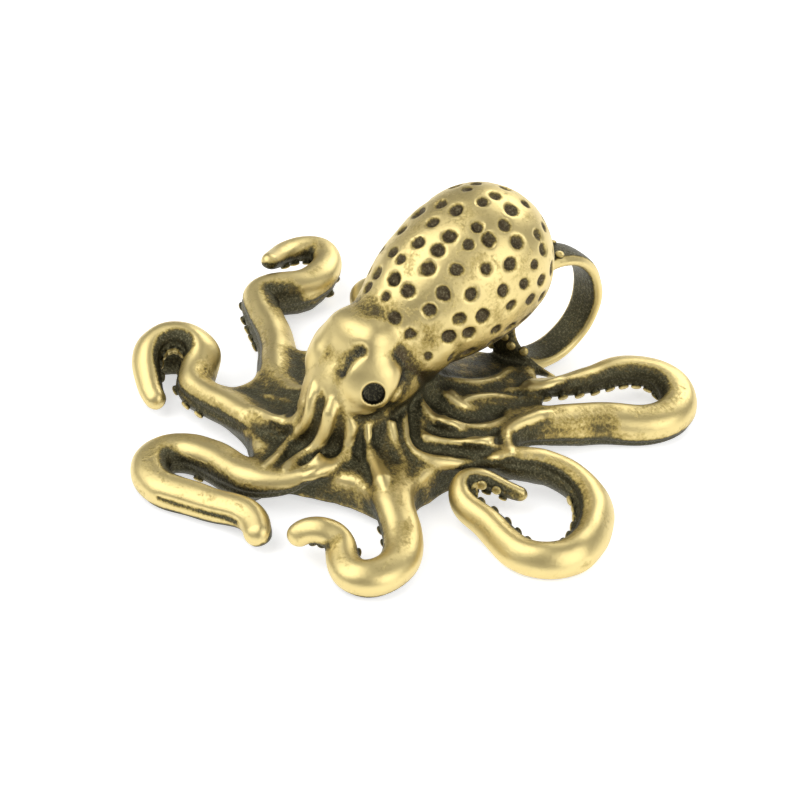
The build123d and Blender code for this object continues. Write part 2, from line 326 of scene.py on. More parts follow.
armRoutes = {
    "left_1": [
        (0.19, -0.18, 1.75), (0.24, -0.21, 1.35), (0.30, -0.25, 1.00), (0.41, -0.34, 0.80),
        (0.53, -0.40, 0.58), (0.62, -0.47, 0.43), (0.66, -0.57, 0.39), (0.63, -0.65, 0.39),
        (0.53, -0.65, 0.42), (0.45, -0.61, 0.62), (0.40, -0.64, 0.84), (0.35, -0.69, 0.74),
        (0.33, -0.73, 0.50),
    ],
    "left_2": [
        (0.26, 0.00, 1.50), (0.38, 0.04, 1.15), (0.50, 0.10, 0.86), (0.57, 0.20, 0.68),
        (0.68, 0.25, 0.54), (0.83, 0.22, 0.44), (0.94, 0.11, 0.39), (0.98, -0.03, 0.38),
        (0.92, -0.12, 0.38), (0.79, -0.14, 0.40), (0.65, -0.13, 0.50), (0.54, -0.13, 0.66),
        (0.49, -0.08, 0.80), (0.51, -0.03, 0.82), (0.57, 0.02, 0.66), (0.64, 0.08, 0.46),
    ],
    "left_3": [
        (0.17, 0.10, 1.55), (0.27, 0.12, 1.20), (0.34, 0.19, 0.92), (0.38, 0.32, 0.74),
        (0.43, 0.46, 0.60), (0.50, 0.59, 0.50), (0.58, 0.70, 0.42), (0.59, 0.81, 0.42),
        (0.52, 0.89, 0.48), (0.42, 0.90, 0.60), (0.33, 0.82, 0.70), (0.30, 0.70, 0.76),
        (0.28, 0.54, 0.90), (0.24, 0.40, 1.16),
    ],
    "left_4": [
        (0.02, 0.20, 1.35), (0.01, 0.32, 0.98), (0.00, 0.45, 0.62), (-0.005, 0.58, 0.37),
    ],
    "right_4": [
        (-0.05, 0.14, 1.40), (-0.12, 0.22, 1.08), (-0.20, 0.31, 0.82), (-0.30, 0.40, 0.62),
        (-0.42, 0.46, 0.48), (-0.54, 0.50, 0.41), (-0.65, 0.50, 0.39), (-0.70, 0.45, 0.40),
        (-0.66, 0.39, 0.46), (-0.58, 0.37, 0.54), (-0.53, 0.40, 0.58),
    ],
    "right_3": [
        (-0.14, -0.23, 1.60), (-0.22, -0.26, 1.25), (-0.31, -0.25, 0.95), (-0.46, -0.18, 0.76),
        (-0.57, -0.09, 0.66), (-0.71, -0.02, 0.62), (-0.82, 0.03, 0.62), (-0.89, 0.09, 0.66),
        (-0.87, 0.15, 0.72), (-0.83, 0.23, 0.74), (-0.84, 0.32, 0.74), (-0.90, 0.40, 0.74),
        (-0.98, 0.42, 0.76), (-1.02, 0.35, 0.84), (-1.00, 0.25, 1.00), (-0.94, 0.15, 1.34),
    ],
    "right_2": [
        (-0.04, -0.40, 1.50), (-0.12, -0.42, 1.20), (-0.21, -0.44, 0.94), (-0.36, -0.45, 0.76),
        (-0.49, -0.46, 0.64), (-0.59, -0.45, 0.64), (-0.65, -0.39, 0.76), (-0.68, -0.35, 0.92),
        (-0.73, -0.34, 1.06), (-0.80, -0.37, 1.12), (-0.83, -0.44, 1.06), (-0.80, -0.51, 0.90),
        (-0.74, -0.55, 0.68), (-0.67, -0.58, 0.50), (-0.61, -0.59, 0.38),
    ],
    "right_1": [
        (0.14, -0.42, 1.40), (0.14, -0.50, 1.05), (0.09, -0.57, 0.82), (0.00, -0.63, 0.68),
        (-0.12, -0.65, 0.58), (-0.25, -0.66, 0.48), (-0.34, -0.71, 0.42), (-0.365, -0.78, 0.39),
        (-0.32, -0.85, 0.38), (-0.22, -0.88, 0.38), (-0.11, -0.84, 0.40), (0.01, -0.79, 0.42),
        (0.12, -0.75, 0.48), (0.20, -0.77, 0.46), (0.25, -0.81, 0.40),
    ],
}
loopTip = [
    (0.010, -0.214, -0.028), (0.040, -0.204, -0.072), (0.088, -0.172, -0.100),
    (0.152, -0.125, -0.120), (0.214, -0.076, -0.138),
]
tipShares = {
    "left_1": 0.50, "left_2": 0.34, "left_3": 0.42, "left_4": 0.48,
    "right_4": 0.40, "right_3": 0.42, "right_2": 0.50, "right_1": 0.66,
}
armRolls = {
    "left_1": (0.0, -40.0), "left_2": (-50.0, -62.0), "left_3": (0.0, 25.0),
    "left_4": (0.0, -70.0), "right_4": (0.0, 30.0), "right_3": (60.0, -10.0),
    "right_2": (25.0, 40.0), "right_1": (0.0, 30.0),
}
loopPlace = np.array(loop["place"]) * reach


def loopPoints():
    radius = (loop["bore"] + loop["wall"]) / 2
    angles = np.radians(np.linspace(loop["start"], loop["end"], loop["steps"] + 1))
    ring = np.stack([np.zeros_like(angles), np.cos(angles), np.sin(angles)], -1) * radius
    return [*(loopPlace + ring), *(loopPlace + np.array(loopTip) * reach)]


def armCurve(name):
    points = [np.array([x * reach, y * reach, z * armGirth]) for x, y, z in armRoutes[name]]
    if name != loop["arm"]:
        return curveThrough(points)
    return curveThrough(points + loopPoints())


armCurves = {name: armCurve(name) for name in armRoutes}
loopKnots = armCurves[loop["arm"]][1]
loopFrom = loopKnots[len(armRoutes[loop["arm"]])] / loopKnots[-1]
loopTo = loopKnots[len(armRoutes[loop["arm"]]) + loop["steps"]] / loopKnots[-1]


# Half width, crown and sole of an arm at shares of its run
def armSizes(name, along):
    tip = tipShares[name]
    if name == loop["arm"]:
        flat = np.minimum(1.0, along / loopFrom)
        past = np.maximum(0.0, (along - loopTo) / (1 - loopTo))
        taper = 1 - (1 - tip * armGirth / loop["width"]) * past ** loop["taperPower"]
        root = armGirth * arm["rootShare"] * (1 - flat)
        halfWidth = (root + loop["width"] * flat) / 2 * taper
        crown = root * arm["crownShare"] + (loop["wall"] / 2 + loop["stock"] * (1 - past)) * flat
        sole = root * arm["soleShare"] + loop["wall"] / 2 * flat
    else:
        rising = np.sin(np.pi / 2 * np.minimum(1, along * arm["swellRate"]))
        swell = arm["rootShare"] + (1 - arm["rootShare"]) * rising
        width = armGirth * swell * (1 - (1 - tip) * along ** arm["taperPower"])
        halfWidth, crown, sole = width / 2, width * arm["crownShare"], width * arm["soleShare"]
    toEnd = (1 - along) * armCurves[name][1][-1] / (tip * armGirth / 2)
    cap = np.sqrt(np.maximum(1e-4, 1 - (1 - np.minimum(1, toEnd)) ** 2))
    rootSize, rootRun = arm["rootTaper"]
    cap = cap * (rootSize + (1 - rootSize) * ease(along, 0, rootRun))
    return halfWidth * cap, crown * cap, sole * cap


# Place, run, side and crown direction of an arm at shares of its run
def armFrames(name, along):
    place, run = armCurves[name][0](along)
    onLoop = name == loop["arm"]
    towards = loopPlace - place if onLoop else np.array([0.0, 0.0, 1.0]) + 0 * place
    turned = np.maximum(0.0, (along - loopTo) / (1 - loopTo)) if onLoop else along
    rootRoll, tipRoll = armRolls[name]
    roll = np.radians(rootRoll + (tipRoll - rootRoll) * turned)[:, None]
    side = unit(np.cross(towards, run))
    crown = np.cross(run, side)
    rolledSide = side * np.cos(roll) + crown * np.sin(roll)
    return place, run, rolledSide, crown * np.cos(roll) - side * np.sin(roll)


def armRings(name):
    length = armCurves[name][1][-1]
    capTurns = np.linspace(0, np.pi / 2, arm["capSteps"])
    ends = 1 - (1 - np.cos(capTurns)) * arm["capLength"] / length
    run = np.arange(0, 1 - arm["capLength"] / length, arm["stepLength"] / length)
    along = np.concatenate([run, ends[::-1]])
    place, _, side, crownWay = armFrames(name, along)
    halfWidth, crown, sole = (size[:, None] for size in armSizes(name, along))
    angle = np.linspace(0, 2 * np.pi, arm["around"], endpoint=False)
    power = 2 / arm["fullness"]
    across = np.sign(np.cos(angle)) * np.abs(np.cos(angle)) ** power
    upward = np.sign(np.sin(angle)) * np.abs(np.sin(angle)) ** power
    below = np.degrees(np.arctan2(-np.sin(angle), np.abs(np.cos(angle))))
    crease = np.exp(-(((below - arm["creaseAngle"]) / arm["creaseWidth"]) ** 2))
    crease = crease * arm["creaseDepthShare"]
    grip = 1 - crease * np.clip((1 - along) * length / arm["creaseFade"], 0, 1)[:, None]
    u = halfWidth * across * grip
    v = np.where(upward > 0, crown, sole) * upward * grip
    return place[:, None] + u[..., None] * side[:, None] + v[..., None] * crownWay[:, None]


# Each form's block of distances and its corner, by the name of its node
moulds = {}


def pourArm(name):
    part, corner = poured(armRings(name))
    part += lumps(part.shape, arm["rippleSpacing"], len(moulds)) * arm["rippleHeight"]
    if name == loop["arm"]:
        _, y, z = cellLines(corner, corner + part.shape)
        inBore = loop["bore"] / 2 - np.hypot(y - loopPlace[1], z - loopPlace[2]) + 0 * part
        part = -blended(-part, -inBore.astype(np.float32), loop["edge"])
    moulds["arm_" + name] = part, corner


for name in armRoutes:
    pourArm(name)
print("arms poured")

# Web between the arms
web = {
    "crown": 7.4, "rim": 3.5, "lift": 0.6, "middle": (0.012, -0.020),
    "bellShare": 0.30, "bellPower": 3.2, "hollowWidth": 17.0, "hollowHeight": 2.2,
    "sunk": 0.35,             # skin between the ridges, below the bell
    "edge": 1.0, "soften": 0.01,
    "spare": (1.5, 0.5, 1.8),   # wax worked beside, below and above it
    "rough": {"waves": (1.7, 0.20), "crags": (0.75, 0.17)},   # spacing and height of its lumps
    "seed": 20,
}
webPoints = [
    ((0.53, -0.40), (0.42, -0.20)), ((0.57, 0.20), (0.40, 0.25)), ((0.39, 0.34), (0.26, 0.47)),
    ((0.00, 0.58), (-0.10, 0.42)), ((-0.30, 0.40), (-0.40, 0.02)), ((-0.57, -0.09), (-0.46, -0.32)),
    ((-0.49, -0.46), (-0.08, -0.57)), ((0.00, -0.63), (0.215, -0.44)),
]


def arcThrough(a, b, c, steps=10):
    a, b, c = (np.array(point) * reach for point in (a, b, c))
    rows = 2 * np.array([b - a, c - a])
    middle = np.linalg.solve(rows, [b @ b - a @ a, c @ c - a @ a])
    turns = [math.atan2(*(point - middle)[::-1]) for point in (a, b, c)]
    sweep = (turns[2] - turns[0]) % (2 * math.pi)
    if (turns[1] - turns[0]) % (2 * math.pi) > sweep:
        sweep -= 2 * math.pi
    angles = turns[0] + np.linspace(0, sweep, steps, endpoint=False)
    return middle + np.linalg.norm(a - middle) * np.stack([np.cos(angles), np.sin(angles)], -1)


def outlineDistance(x, y, outline):
    nearest = np.full(np.broadcast(x, y).shape, 1e9)
    inside = np.zeros(nearest.shape, bool)
    for a, b in zip(outline, np.roll(outline, -1, axis=0)):
        run = b - a
        share = np.clip(((x - a[0]) * run[0] + (y - a[1]) * run[1]) / (run @ run), 0, 1)
        square = (x - a[0] - share * run[0]) ** 2 + (y - a[1] - share * run[1]) ** 2
        nearest = np.minimum(nearest, square)
        crosses = (a[1] > y) != (b[1] > y)
        inside ^= crosses & (x < run[0] * (y - a[1]) / (run[1] + 1e-12) + a[0])
    return np.where(inside, -1, 1) * np.sqrt(nearest)


def pourWeb():
    arcs = [
        arcThrough(point, inlet, following)
        for (point, inlet), (following, _) in zip(webPoints, webPoints[1:] + webPoints[:1])
    ]
    outline = np.concatenate(arcs)
    beside, under, over = web["spare"]
    low, high = [*(outline.min(0) - beside), -under], [*(outline.max(0) + beside), web["crown"] + over]
    corner, (x, y, z) = cellsRound(low, high)
    flatX, flatY = x[:, :, 0], y[:, :, 0]
    away = np.hypot(flatX - web["middle"][0] * reach, flatY - web["middle"][1] * reach)
    bell = 1 / (1 + (away / (web["bellShare"] * reach)) ** web["bellPower"])
    top = web["rim"] - web["sunk"] + (web["crown"] - web["rim"]) * bell
    slope = np.sqrt(1 + sum(part**2 for part in np.gradient(top, voxel)))
    hollow = np.sqrt(np.maximum(0, 1 - (away / (web["hollowWidth"] / 2)) ** 2))
    floor = web["lift"] + (web["hollowHeight"] - web["lift"]) * hollow
    above = (z - top[:, :, None]) / slope[:, :, None]
    rim = outlineDistance(flatX, flatY, outline)[:, :, None] + 0 * above
    part = -blended(-above, -rim, web["edge"])
    part = -blended(-part, -(floor[:, :, None] - z) + 0 * part, web["edge"] / 2)
    for seed, (spacing, height) in enumerate(web["rough"].values(), start=web["seed"]):
        part = part + lumps(part.shape, spacing, seed) * height
    return np.clip(part, -far, far).astype(np.float32), corner


moulds["web"] = pourWeb()
addWax(*moulds["web"], web["soften"])
for name in armRoutes:
    if name != loop["arm"]:
        addWax(*moulds["arm_" + name], arm["soften"])

# Flanks that run down to the table inside the curls, between shares of an arm's run
flanks = {
    "right_1": (0.22, 0.60), "right_2": (0.42, 0.80), "right_3": (0.30, 0.72), "right_4": (0.45, 0.90),
    "left_3": (0.26, 0.62),
}
flank = {"radius": 1.05, "height": 1.1, "soften": 1.6, "steps": 18, "endShare": 0.3, "endRate": 3.7}
for name, (start, end) in flanks.items():
    line, _ = armCurves[name][0](np.linspace(start, end, flank["steps"]))
    line[:, 2] = np.minimum(line[:, 2], flank["height"])
    radii = flank["radius"] * tapered(len(line), flank["endShare"], flank["endRate"])
    addWax(*wireRound(line, radii), flank["soften"])
print("web poured")

# Head and mantle, turned eggs
head = {
    "place": (0.012, -0.200, 0.310), "length": 16.0, "width": 9.0, "tilt": 50.0, "soften": 1.3,
    "footSlope": (1, 0),
    "outline": [
        (0.00, 0.00), (0.14, 0.66), (0.32, 0.96), (0.50, 1.00), (0.70, 0.84), (0.88, 0.52),
        (1.00, 0.00),
    ],
}
mantle = {
    "place": (0.012, -0.130, 0.440), "length": 21.2, "width": 14.6, "tilt": 19.0, "soften": 1.7,
    "outline": [
        (0.00, 0.50), (0.12, 0.62), (0.28, 0.83), (0.45, 0.96), (0.62, 1.00), (0.78, 0.92),
        (0.91, 0.66), (1.00, 0.00),
    ],
    "hammerHeight": 0.28, "hammerSpacing": 2.5, "seed": 3, "inset": 0.14,
    "footSlope": (0.45, 1),
}


# Axis, side and third direction of an egg, its axis turned round where way is -1
def eggFrame(tilt, way):
    turn = math.radians(tilt)
    axis = np.array([0.0, math.cos(turn), math.sin(turn)]) * way
    side = np.array([1.0, 0.0, 0.0])
    return axis, side, np.cross(axis, side)


def eggProfile(egg, steps=160):
    points = [(radius * egg["width"] / 2, place * egg["length"]) for place, radius in egg["outline"]]
    outline, _ = curveThrough(points, egg["footSlope"], (-1, 0))[0](np.linspace(0, 1, steps))
    return np.maximum(outline[:, 0], 1e-3), outline[:, 1]


def eggRings(foot, frameOfEgg, profile, around=120):
    axis, side, other = frameOfEgg
    radius, place = profile
    angle = np.linspace(0, 2 * np.pi, around, endpoint=False)
    spokes = np.cos(angle)[:, None] * side + np.sin(angle)[:, None] * other
    return foot + place[:, None, None] * axis + radius[:, None, None] * spokes[None]


headPlace = np.array(head["place"]) * reach
headFrame = eggFrame(head["tilt"], -1)
headCrown = headPlace - headFrame[0] * head["length"] / 2
moulds["head"] = poured(eggRings(headCrown, headFrame, eggProfile(head)))
addWax(*moulds["head"], head["soften"])
print("head poured")

# Ridges of the web, laid as wax wires along lines read off the photograph, in its pixels. Each
# has its width at the root and at the end.
ridges = {
    "brow": (1.4, 1.1, [(313, 384), (312, 404), (306, 426), (291, 442), (278, 457), (265, 466)]),
    "face": (2.0, 1.3, [(332, 402), (329, 421), (322, 438), (312, 451), (298, 461), (285, 470)]),
    "cheek": (1.3, 1.2, [(351, 424), (347, 448), (338, 463), (323, 471), (307, 478)]),
    "chin": (0.9, 0.7, [(358, 424), (354, 446), (348, 462)]),
    "collar": (1.3, 1.7, [(366, 426), (367, 446), (372, 457), (378, 470), (384, 486)]),
    "outer": (0.8, 0.7, [(304, 401), (294, 413), (279, 419), (265, 414), (252, 407)]),
    "flank": (0.5, 0.5, [(298, 405), (286, 402), (274, 399), (264, 396)]),
    "bowl": (1.1, 1.4, [
        (404, 402), (403, 415), (406, 430), (410, 445), (419, 455), (434, 461), (456, 464), (479, 464),
        (497, 461), (511, 455),
    ]),
    "bowlRim": (1.3, 1.3, [(510, 456), (506, 444), (507, 433), (515, 426), (529, 420), (548, 412)]),
    "bowlTop": (1.1, 0.8, [(420, 399), (426, 411), (435, 419), (448, 423), (463, 425), (482, 425)]),
    "bowlMiddle": (0.9, 0.8, [(418, 436), (438, 439), (456, 442), (478, 442), (494, 438)]),
    "back": (1.3, 0.9, [(565, 380), (540, 388), (520, 392), (504, 391)]),
}
# Furrows between them, each with its width and how far its wire is lifted out, as a share
furrows = {
    "browFurrow": (1.1, 0.58, [(321, 392), (318, 412), (314, 428), (303, 443), (288, 455)]),
    "faceFurrow": (1.2, 0.55, [(341, 410), (338, 428), (333, 445), (320, 458), (305, 468)]),
    "chinFurrow": (0.8, 0.3, [(362, 420), (361, 440), (360, 458)]),
    "throat": (1.5, 0.74, [(384, 420), (386, 436), (391, 450), (398, 462)]),
    "rightCrease": (0.36, 0.0, [(158, 498), (172, 503), (188, 508), (206, 513), (222, 517), (236, 522)]),
    "bowlFurrow": (1.0, 0.3, [
        (411, 410), (414, 424), (420, 446), (436, 450), (458, 453), (482, 452), (498, 448),
    ]),
    "bowlUpper": (0.8, 0.3, [(425, 427), (438, 432), (458, 434), (480, 434), (496, 431)]),
    "bowlBack": (2.2, 0.35, [(428, 392), (440, 403), (458, 412), (480, 414), (500, 408)]),
}
# Ridges on the side that the photograph doesn't show, as shares of the reach
hiddenRidges = {
    "nape": (1.0, 0.8, [(-0.12, -0.02), (-0.22, 0.12), (-0.33, 0.28), (-0.40, 0.42)]),
    "shoulder": (0.9, 0.7, [(-0.18, -0.14), (-0.32, -0.06), (-0.44, -0.02), (-0.56, 0.00)]),
    "rear": (0.9, 0.8, [(-0.06, 0.10), (-0.10, 0.24), (-0.12, 0.36), (-0.08, 0.48)]),
    "rearLeft": (0.9, 0.8, [(0.10, 0.12), (0.14, 0.26), (0.14, 0.36), (0.10, 0.46)]),
    "spine": (0.7, 0.6, [(0.22, 0.14), (0.22, 0.26), (0.27, 0.36), (0.30, 0.44)]),
}
ridge = {
    "sunkShare": 0.15, "soften": 0.45, "steps": 26, "endRate": 6, "endShare": 0.35, "furrowEndShare": 0.3,
}


# Places on the wax under pixels, or under spots seen from above, without those that miss it
def placesUnder(spots, find):
    places = [find(spot) for spot in spots]
    return [place for place in places if place is not None]


def smoothLine(places, steps):
    return curveThrough(places)[0](np.linspace(0, 1, steps))[0]


def layRidge(startWidth, endWidth, places, softness=ridge["soften"], sunkShare=ridge["sunkShare"]):
    line = smoothLine(places, ridge["steps"])
    ends = tapered(len(line), ridge["endShare"], ridge["endRate"])
    radii = np.linspace(startWidth, endWidth, len(line)) / 2 * ends
    line = line - wayOut(line) * (radii * sunkShare)[:, None]
    addWax(*wireRound(line, radii), softness)


def cutFurrow(width, lift, places):
    line = smoothLine(places, ridge["steps"])
    radii = width / 2 * tapered(len(line), ridge["furrowEndShare"], ridge["endRate"])
    carveWax(*wireRound(line + wayOut(line) * (radii * lift)[:, None], radii), ridge["soften"])


# All places are read before the first ridge is laid, so that no ridge shifts the next
routes = [(*widths, placesUnder(spots, waxUnderPixel)) for *widths, spots in ridges.values()]
routes += [(*widths, placesUnder(spots, waxUnderPlace)) for *widths, spots in hiddenRidges.values()]
for route in routes:
    layRidge(*route)
for width, lift, pixels in furrows.values():
    cutFurrow(width, lift, placesUnder(pixels, waxUnderPixel))
print("ridges laid")

# Mantle with its pits
pit = {
    "rowPitch": 2.2, "pitch": 2.5, "width": 1.42, "depth": 0.45, "scatter": 0.5, "edge": 0.16, "seed": 5,
    "sizeShares": (0.74, 1.14), "ragged": 0.30, "raggedSpacing": 0.45, "spare": 0.5,
    "firstRow": 3.2, "lastGap": 0.4,   # along the skin, from the foot and before the tip
}
mantleFoot = np.array(mantle["place"]) * reach
mantleFrame = eggFrame(mantle["tilt"], 1)
mantleProfile = eggProfile(mantle)
mantlePart, mantleCorner = poured(eggRings(mantleFoot, mantleFrame, mantleProfile))
hammered = lumps(mantlePart.shape, mantle["hammerSpacing"], mantle["seed"]) * mantle["hammerHeight"]
mantlePart += hammered + mantle["inset"]
moulds["mantle"] = mantlePart, mantleCorner
addWax(mantlePart, mantleCorner, mantle["soften"])


def pitPlaces():
    radius, place = mantleProfile
    axis, side, other = mantleFrame
    dice = np.random.default_rng(pit["seed"])
    run = np.concatenate([[0], np.cumsum(np.hypot(np.diff(radius), np.diff(place)))])
    rows = np.arange(pit["firstRow"], run[-1] - pit["lastGap"], pit["rowPitch"])
    spots = []
    for row, at in enumerate(rows):
        here, there = np.interp(at, run, radius), np.interp(at, run, place)
        number = max(1, round(2 * np.pi * here / pit["pitch"]))
        for step in range(number):
            turn = (step + row / 2 + dice.uniform(-1, 1) * pit["scatter"] / 2) / number * 2 * np.pi
            slide = dice.uniform(-1, 1) * pit["scatter"]
            out = math.cos(turn) * side + math.sin(turn) * other
            spot = mantleFoot + axis * (there + slide) + out * here
            spots.append((spot, dice.uniform(*pit["sizeShares"])))
    return spots


pits = []
for number, (place, sizeShare) in enumerate(pitPlaces()):
    out = wayOut(place[None])[0]
    place = place - out * lookUp(block, first, voxel, place[None])[0]
    width, depth = pit["width"] * sizeShare, pit["depth"] * sizeShare
    radius = (width**2 / 4 + depth**2) / (2 * depth)
    middle = place + out * (radius - depth)
    size = radius + pit["spare"]
    corner, lines = cellsRound(middle - size, middle + size)
    ball = np.sqrt(squareFrom(lines, middle)) - radius
    ball += lumps(ball.shape, pit["raggedSpacing"], number) * pit["ragged"]
    carveWax(ball.astype(np.float32), corner, pit["edge"])
    pits.append((place, width))
print("mantle poured,", len(pits), "pits")

# Eyes
eye = {
    "seat": (0.149, -0.217, 0.3835), "yaw": 54.0, "pitch": 22.0, "width": 5.9, "height": 5.5, "shift": 0.25,
    "rise": 1.7, "sunk": 0.6, "lift": 0.95, "fullness": 2.5, "soften": 0.35, "spare": 5.0,
    "sizeLimit": 1.4,   # past this the distance grows evenly
    "bore": 2.05, "boreDepth": 1.4, "edge": 0.16, "boreSpare": 4.0,
}
tail = {
    "start": 1.0, "length": 3.0, "drop": 0.9, "sunk": 0.5, "width": 2.6, "endRadius": 0.45, "steps": 6,
    "soften": 0.6,
}
# Grooves and bands round the near eye, drawn like the furrows and ridges of the web
browGroove = (1.5, 0.6, [(364, 349), (355, 354), (347, 363), (341, 376)])
eyeFoot = (0.8, 0.35, [(350, 415), (366, 419), (380, 414), (393, 401), (401, 386), (405, 372)])
band = {"soften": 1.6, "sunkShare": 0.5}
bands = {
    "cheek": (3.0, 2.6, [(440, 352), (430, 364), (420, 375), (410, 385), (401, 395)]),
    "nape": (3.0, 3.0, [(338, 327), (350, 332), (362, 338), (376, 344)]),
}


eyeSides = {"eye_left": 1, "eye_right": -1}


def eyeFrame(side):
    yaw, rise = math.radians(eye["yaw"]) * side, math.radians(eye["pitch"])
    look = np.array([math.sin(yaw) * math.cos(rise), -math.cos(yaw) * math.cos(rise), math.sin(rise)])
    seat = np.array(eye["seat"]) * reach
    seat[0] = headPlace[0] + side * (seat[0] - headPlace[0])
    across = unit(np.cross([0.0, 0.0, 1.0], look))
    return seat, look, across, np.cross(look, across)


def pourEye(side):
    seat, look, across, upward = eyeFrame(side)
    toFace = across * -side
    middle = seat + upward * eye["lift"] + toFace * eye["shift"] - look * eye["sunk"]
    depth = eye["rise"] + eye["sunk"]
    corner, lines = cellsRound(middle - eye["spare"], middle + eye["spare"])
    halves = (across, eye["width"] / 2), (upward, eye["height"] / 2), (look, depth)
    scaled = sum(np.abs(offsetAlong(lines, middle, way) / half) ** eye["fullness"] for way, half in halves)
    size = scaled ** (1 / eye["fullness"])
    dome = ((size - 1) * depth * np.minimum(size, eye["sizeLimit"])).astype(np.float32)
    shares = np.linspace(0, 1, tail["steps"])[:, None]
    line = middle + toFace * (tail["start"] + tail["length"] * shares)
    line = line - upward * tail["drop"] * shares - look * tail["sunk"] * shares
    wire, wireCorner = wireRound(line, np.linspace(tail["width"] / 2, tail["endRadius"], tail["steps"]))
    return np.clip(dome, -far, far), corner, wire, wireCorner


for eyeName, side in eyeSides.items():
    dome, corner, wire, wireCorner = pourEye(side)
    whole = np.full(counts, far, np.float32)
    whole[region(dome, corner)] = dome
    cells = region(wire, wireCorner)
    whole[cells] = blended(whole[cells], wire, tail["soften"])
    low = np.minimum(corner, wireCorner)
    high = np.maximum(corner + dome.shape, wireCorner + wire.shape)
    moulds[eyeName] = whole[tuple(slice(a, b) for a, b in zip(low, high))].copy(), low
    addWax(*moulds[eyeName], eye["soften"])


# Places under pixels on the near side of the head, and the same places on its far side
def bothSides(pixels):
    near = placesUnder(pixels, waxUnderPixel)
    return near, [place * (-1, 1, 1) + np.array([2 * headPlace[0], 0, 0]) for place in near]


for startWidth, endWidth, pixels in bands.values():
    for line in bothSides(pixels):
        layRidge(startWidth, endWidth, line, band["soften"], band["sunkShare"])
width, lift, pixels = browGroove
cutFurrow(width, lift, placesUnder(pixels, waxUnderPixel))
width, lift, pixels = eyeFoot
for line in bothSides(pixels):
    cutFurrow(width, lift, line)

for side in eyeSides.values():
    seat, look, _, _ = eyeFrame(side)
    crest = seat + look * eye["rise"]
    corner, lines = cellsRound(crest - eye["boreSpare"], crest + eye["boreSpare"])
    deep = offsetAlong(lines, crest, look)
    square = squareFrom(lines, crest) - deep**2
    bore = np.maximum(np.sqrt(np.maximum(square, 0)) - eye["bore"] / 2, -eye["boreDepth"] - deep)
    carveWax(bore.astype(np.float32), corner, eye["edge"])
print("eyes poured")

addWax(*moulds["arm_" + loop["arm"]], loop["soften"])


# Wax within the construction's box
def trimmed(cells):
    lows, highs = cadLow + wax["inset"], cadHigh - wax["inset"]
    for line, low, high in zip(cellLines((0, 0, 0), counts), lows, highs):
        cells = np.maximum(cells, np.maximum(low - line, line - high).astype(np.float32))
    return cells


# Wax without the grid's steps in its surface
def smoothed(cells):
    for axis in range(3):
        total = cells * 2
        total += np.roll(cells, 1, axis=axis)
        total += np.roll(cells, -1, axis=axis)
        cells = total / 4
    return cells


block = trimmed(smoothed(block))
print("casting trimmed")


# The casting as one skin of quads
def skinned(cells):
    grid = openvdb.FloatGrid(far)
    grid.transform = waxGrid
    grid.gridClass = openvdb.GridClass.LEVEL_SET
    grid.copyFromArray(cells, ijk=tuple(int(value) for value in first))
    points, quads = grid.convertToQuads(0.0)
    return np.array(points, float), np.array(quads, np.int64)


points, quads = skinned(block)
normals = wayOut(points)
corners = points[quads]
facing = np.cross(corners[:, 2] - corners[:, 0], corners[:, 3] - corners[:, 1])
if (facing * normals[quads[:, 0]]).sum() < 0:
    quads = quads[:, ::-1]
print("casting skinned:", len(points), "points", len(quads), "quads")


# Patina and painted shade: patina dark in the hollows, where the polishing wheel doesn't reach,
# and painted shade on faces that look down, on the arms' sides and undersides, inside the curls
# and in sheltered places under overhangs. The lower half of the web's rim is made darker towards the
# bottom.
patinaAndShade = {
    "fine": 0.3, "middle": 0.9, "wide": 1.5,   # sizes of the hollows that it gathers in
    "web": 0.18, "head": -0.10, "mantle": 0.05, "eye": 0.0, "arm": 0.10,   # more on each kind of piece
    "fineGain": 3.4, "middleGain": 2.4, "shelterGain": 1.25, "underGain": 1.1, "base": 0.16,
    "flankGain": 0.26, "curlGain": 0.7, "pit": 0.9,
    "least": -0.5, "most": 1.3, "rounds": 6,   # limits of its depth, and how often it is evened out
    "rimGain": 0.5, "rimHeights": (1.2, 2.4),   # the lower half of the web's rim
    # Painted shade: how far a face looks down, and leans from an arm's crown, where its gain sets in and is
    # full
    "downShares": (0.25, 0.9), "flankShares": (-0.75, 0.0), "soleShares": (-0.02, 0.32),
    "belowLine": (1.1, 1.6),   # the flanks inside the curls, below the arm's middle line
    "ringEdgeShares": (0.3, 0.75), "ringStartShare": 0.6, "ringEndShare": 0.97,
    # Painted shade inside a curl: how far out it goes, as shares of the curl, and how far it faces in
    "curlOutShares": (-1.1, -0.8), "curlInShares": (0.15, 0.55),
    "pitShares": (0.32, 0.60), "markShares": (0.15, 0.60),   # of a width, where it starts to fade and ends
    "armSamples": 240, "curlSamples": 40, "markSamples": 30,
}
# Slack round the eye's bore, over its crest and under its foot, and how deep it turns dark
boreReach = {"slack": 0.04, "over": 0.3, "under": 1.0, "darkDepth": 0.35}


# Averages over boxes of wax, twice along each axis
def spread(cells, width):
    for axis in range(3):
        size = cells.shape[axis]
        for _ in range(2):
            total = np.cumsum(cells, axis=axis, dtype=np.float32)
            ahead = np.take(total, np.minimum(np.arange(size) + width, size - 1), axis=axis)
            behind = np.take(total, np.maximum(np.arange(size) - width - 1, 0), axis=axis)
            cells = (ahead - behind) / (2 * width + 1)
    return cells


